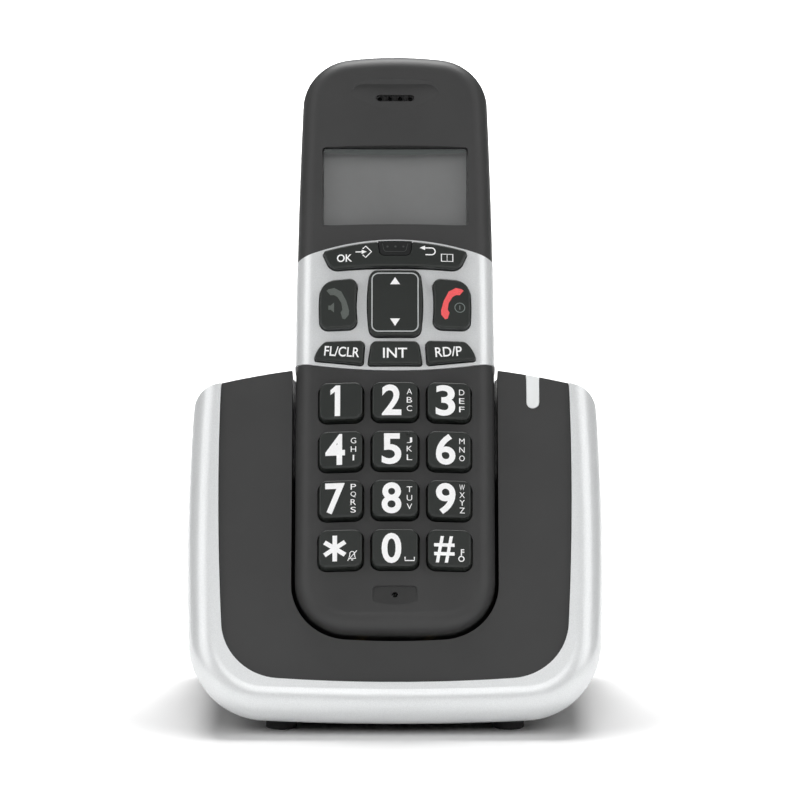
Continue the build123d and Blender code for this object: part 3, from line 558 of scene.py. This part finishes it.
def print_functions():
    """Abbreviations on the three function keys, the outer two turned with their keys."""
    legends = (
        ("flash_key", "FL/CLR", (-13.9, 72.3), (9.2, 2.75), -5.0),
        ("intercom_key", "INT", (0, 71.75), (6.3, 2.8), 0.0),
        ("redial_key", "RD/P", (14.0, 72.3), (7.0, 2.75), 5.0),
    )
    for key, text, place, size, turn in legends:
        shapes = [letters(text, *place, *size, MEDIUM, turn)]
        printed(f"legend_{key}", key, key, WHITE_INK, shapes)


def arrow_into_diamond(x, y):
    """An arrow entering an open square that stands on its corner."""
    corners = [(0.1, 0.85), (0.85, 1.6), (2.4, 0), (0.85, -1.6), (0.1, -0.85)]
    square = stroke([(x + px, y + py) for px, py in corners], 0.32)
    head = filled([(x - 0.2, y + 0.6), (x + 1.2, y), (x - 0.2, y - 0.6)])
    return [square, head, stroke([(x - 1.8, y), (x, y)], 0.3)]


def returning_arrow(x, y):
    """An arrow that turns back on itself."""
    bend = arc(x + 1.0, y, 0.95, 90, -90, 10)
    line = stroke([(x - 0.8, y + 0.95)] + bend + [(x - 0.6, y - 0.95)], 0.32)
    return [line, filled([(x - 2.1, y + 0.95), (x - 0.7, y + 1.6), (x - 0.7, y + 0.3)])]


def open_book(x, y):
    """Two pages side by side."""
    page = 1.5
    shapes = []
    for side in (-1, 1):
        edge = [(x, y - 1), (x, y + 1), (x + side * page, y + 1), (x + side * page, y - 1)]
        shapes.append(stroke(edge, 0.3, closed=True))
    return shapes


def print_soft_bar():
    """The bar's four legends, from left to right."""
    shapes = [letters("OK", -13.3, 98.5, 4.0, 2.15, 0.015)]
    shapes += arrow_into_diamond(-8.6, 100.15) + returning_arrow(8.6, 100.3)
    shapes += open_book(13.7, 98.6)
    printed("legend_soft_keys", "soft_key_bar", "soft_key_bar", WHITE_INK, shapes)


def print_navigation_key():
    """Two arrows inside a thin rounded ring."""
    key = "navigation_key"
    up = filled([(-1.3, 90.9), (1.3, 90.9), (0, 92.9)])
    down = filled([(-1.3, 81.3), (1.3, 81.3), (0, 79.2)])
    printed("legend_arrows", key, key, WHITE_INK, [up, down])
    middle, across, along, radius = 85.9, 4.3, 6.4, 1.75
    ring = []
    corners = ((1, 1, 0), (-1, 1, 90), (-1, -1, 180), (1, -1, 270))
    for side, end, start in corners:
        ring += arc(side * across, middle + end * along, radius, start, start + 90, 8)
    printed("navigation_ring", key, key, RING_INK, [stroke(ring, 0.32, closed=True)])


def receiver(x, y, side):
    """A curved receiver seen from the side, hollow towards one side."""
    outer = [(-2.7, 4.2), (-1.2, 4.5), (0.7, 3.4), (2.0, 0.8), (2.75, -2.0), (2.65, -3.2)]
    mouth = [(1.7, -4.4), (1.0, -4.2), (0.5, -2.5), (1.0, -1.7)]
    inner = [(0.7, 0.2), (-0.3, 1.9), (-1.2, 2.5), (-2.2, 2.5), (-3.2, 3.8)]
    return filled([(x + side * px, y + py) for px, py in outer + mouth + inner])


def print_call_keys():
    """A receiver on each call key, with a loudspeaker's cone and a power sign beside them."""
    cone = [(-17.5, 84.0), (-16.9, 84.0), (-16.0, 83.2)]
    cone += [(-16.0, 86.0), (-16.9, 85.2), (-17.5, 85.2)]
    talk = [receiver(-14.8, 85.6, 1), filled(cone)]
    printed("legend_talk", "talk_key", "talk_key", GREEN_INK, talk)
    end = [receiver(14.8, 85.6, -1)]
    printed("legend_end", "end_call_key", "end_call_key", RED_INK, end)
    ring = stroke(circle(17.0, 84.6, 1.3, 20), 0.2, closed=True)
    bar = stroke([(17.0, 84.0), (17.0, 85.2)], 0.2)
    printed("legend_power", "end_call_key", "end_call_key", DIM_INK, [ring, bar])


def print_lamp():
    """The lamp's window: a fine lighter inner line, a painted highlight along its rim, and three
    small dots.
    """
    # The fine inner line is a painted highlight along the lamp's rim.
    rim = [(-3.5, 103.2), (-3.0, 100.9)] + arc(-2.2, 101.0, 0.8, 190, 270, 4)
    rim += arc(2.2, 101.0, 0.8, 270, 350, 4) + [(3.0, 100.9), (3.5, 103.2)]
    dots = [filled(circle(x, 101.6, 0.3, 10)) for x in (-2.0, 0.1, 2.2)]
    printed("lamp_rim_highlight_and_dots", "message_lamp", "handset", LAMP_HIGHLIGHT_AND_DOT_INK, [stroke(rim, 0.16)] + dots)


def frame_display():
    """The window's printed edge, and a darker strip of painted shade under its upper rim."""
    side, low, high = 19.0, 108.95, 130.95
    corners = [(-side, low), (side, low), (side, high), (-side, high)]
    edge = [stroke(corners, 0.3, closed=True)]
    printed("window_edge", "display_lens", "handset", DARK_PRINT_AND_SLOT_SHADE_INK, edge)
    # The strip under the upper rim is painted shade, deepest in the middle where it sags.
    inset, depth, sag, steps = 0.2, 1.1, 0.7, 12
    width = 2 * side - 2 * inset
    outline = [(-side + inset, high - inset), (side - inset, high - inset)]
    for k in range(steps + 1):
        drop = depth + sag * math.sin(math.pi * k / steps)
        outline.append((side - inset - k * width / steps, high - drop))
    band = filled(outline)
    printed("window_rim_shade", "display_lens", "handset", RIM_SHADE_INK, [band], 0.02)


def line_openings():
    """Painted shade: a dark film on the floor of the ear slot, and behind its holes and the
    microphone's hole.
    """
    half, radius, y = 4.1, 0.85, 145.0
    slot = arc(half, y, radius, -90, 90, 10) + arc(-half, y, radius, 90, 270, 10)
    holes = [circle(x, y, 0.6, 12) for x in (-4.05, -1.35, 1.35, 4.05)]
    # The slot's floor is darkened with painted shade, leaving its holes open.
    slot_shade = filled(slot, *holes)
    printed("ear_slot_shade", "handset_upper_cover", "handset", DARK_PRINT_AND_SLOT_SHADE_INK, [slot_shade])
    # A dark film behind the holes stands for the shade inside them; the same for the microphone's
    # hole.
    hole_shade = filled(circle(0, y, 4.9, 24))
    printed("earpiece_hole_shade", "earpiece_speaker", "handset", HOLE_SHADE, [hole_shade])
    hole = filled(circle(0, 6.0, 0.75, 16))
    printed("microphone_hole_shade", "microphone", "handset", HOLE_SHADE, [hole])


def print_everything():
    """Every legend and trim, and the films of painted shade and highlight, in a fixed order."""
    print_digits()
    print_bottom_row()
    print_functions()
    print_soft_bar()
    print_navigation_key()
    print_call_keys()
    print_lamp()
    frame_display()
    line_openings()


# ---- studio --------------------------------------------------------------------------------

SKY_FROM, SKY_TO = 0.05, 0.85   # the heights, as sines, between which the sky brightens


def add_light(name, size, place, target, power):
    """A rectangular white light at a place, aimed at a target."""
    data = bpy.data.lights.new(name, "AREA")
    data.shape = "RECTANGLE"
    data.size, data.size_y = size
    data.energy = power
    lamp = bpy.data.objects.new(name, data)
    lamp.location = place
    direction = Vector(target) - Vector(place)
    lamp.rotation_euler = direction.to_track_quat("-Z", "Y").to_euler()
    bpy.context.scene.collection.objects.link(lamp)


def soft_sky(low, high):
    """A world that is bright overhead and darker towards the horizon, like a studio tent."""
    world = bpy.data.worlds.new("studio")
    world.use_nodes = True
    tree = world.node_tree
    place = tree.nodes.new("ShaderNodeTexCoord")
    split = tree.nodes.new("ShaderNodeSeparateXYZ")
    height = tree.nodes.new("ShaderNodeMapRange")
    height.interpolation_type = "SMOOTHSTEP"
    height.inputs["From Min"].default_value = SKY_FROM
    height.inputs["From Max"].default_value = SKY_TO
    height.inputs["To Min"].default_value = low
    height.inputs["To Max"].default_value = high
    tree.links.new(place.outputs["Generated"], split.inputs["Vector"])
    tree.links.new(split.outputs["Z"], height.inputs["Value"])
    tree.links.new(height.outputs["Result"], tree.nodes["Background"].inputs["Strength"])
    bpy.context.scene.world = world


def add_studio():
    """Soft lights round the object, one for the backdrop behind it, and the sky."""
    target = (0.0, 0.0, 0.08)
    add_light("left light", (1.0, 1.4), (-1.4, -0.7, 0.9), target, 9)
    add_light("right light", (1.0, 1.4), (1.4, -0.7, 0.9), target, 9)
    add_light("front light", (1.6, 0.8), (0.0, -1.9, 1.1), target, 12)
    add_light("top light", (1.2, 0.8), (0.0, 0.7, 1.5), target, 34)
    add_light("backdrop light", (6.0, 3.0), (0.0, 3.0, 3.0), (0, 6.0, 0), 900)
    soft_sky(0.40, 1.45)


def add_floor():
    """A wide white floor, very slightly uneven in tone."""
    half = 30.0
    corners = [(-half, -half, 0), (half, -half, 0), (half, half, 0), (-half, half, 0)]
    mesh = bpy.data.meshes.new("floor")
    mesh.from_pydata(corners, [], [(0, 1, 2, 3)])
    floor = bpy.data.objects.new("floor", mesh)
    bpy.context.scene.collection.objects.link(floor)
    shader = Shader("white floor", 0.6, specular=0.2)
    paper = shader.noise(300.0, 2.0)
    shades = [(0.3, (0.93, 0.93, 0.93)), (0.7, (0.95, 0.95, 0.95))]
    shader.link(shader.ramp(paper, shades), "Base Color")
    mesh.materials.append(shader.material)


def add_camera():
    """A long lens aimed at the handset's middle from the front, eight degrees above level."""
    rise = math.radians(8)
    distance = 1.462
    target = Vector((0.0013, -0.0043, 0.0814))
    place = target + distance * Vector((0, -math.cos(rise), math.sin(rise)))
    data = bpy.data.cameras.new("camera")
    data.lens = 250
    data.sensor_width = 36
    data.clip_end = 100
    camera = bpy.data.objects.new("camera", data)
    camera.location = place
    camera.rotation_euler = (target - place).to_track_quat("-Z", "Y").to_euler()
    bpy.context.scene.collection.objects.link(camera)
    bpy.context.scene.camera = camera
    bpy.context.scene.view_settings.view_transform = "Standard"


add_camera()
add_studio()
add_floor()
dress_nodes()
print_everything()
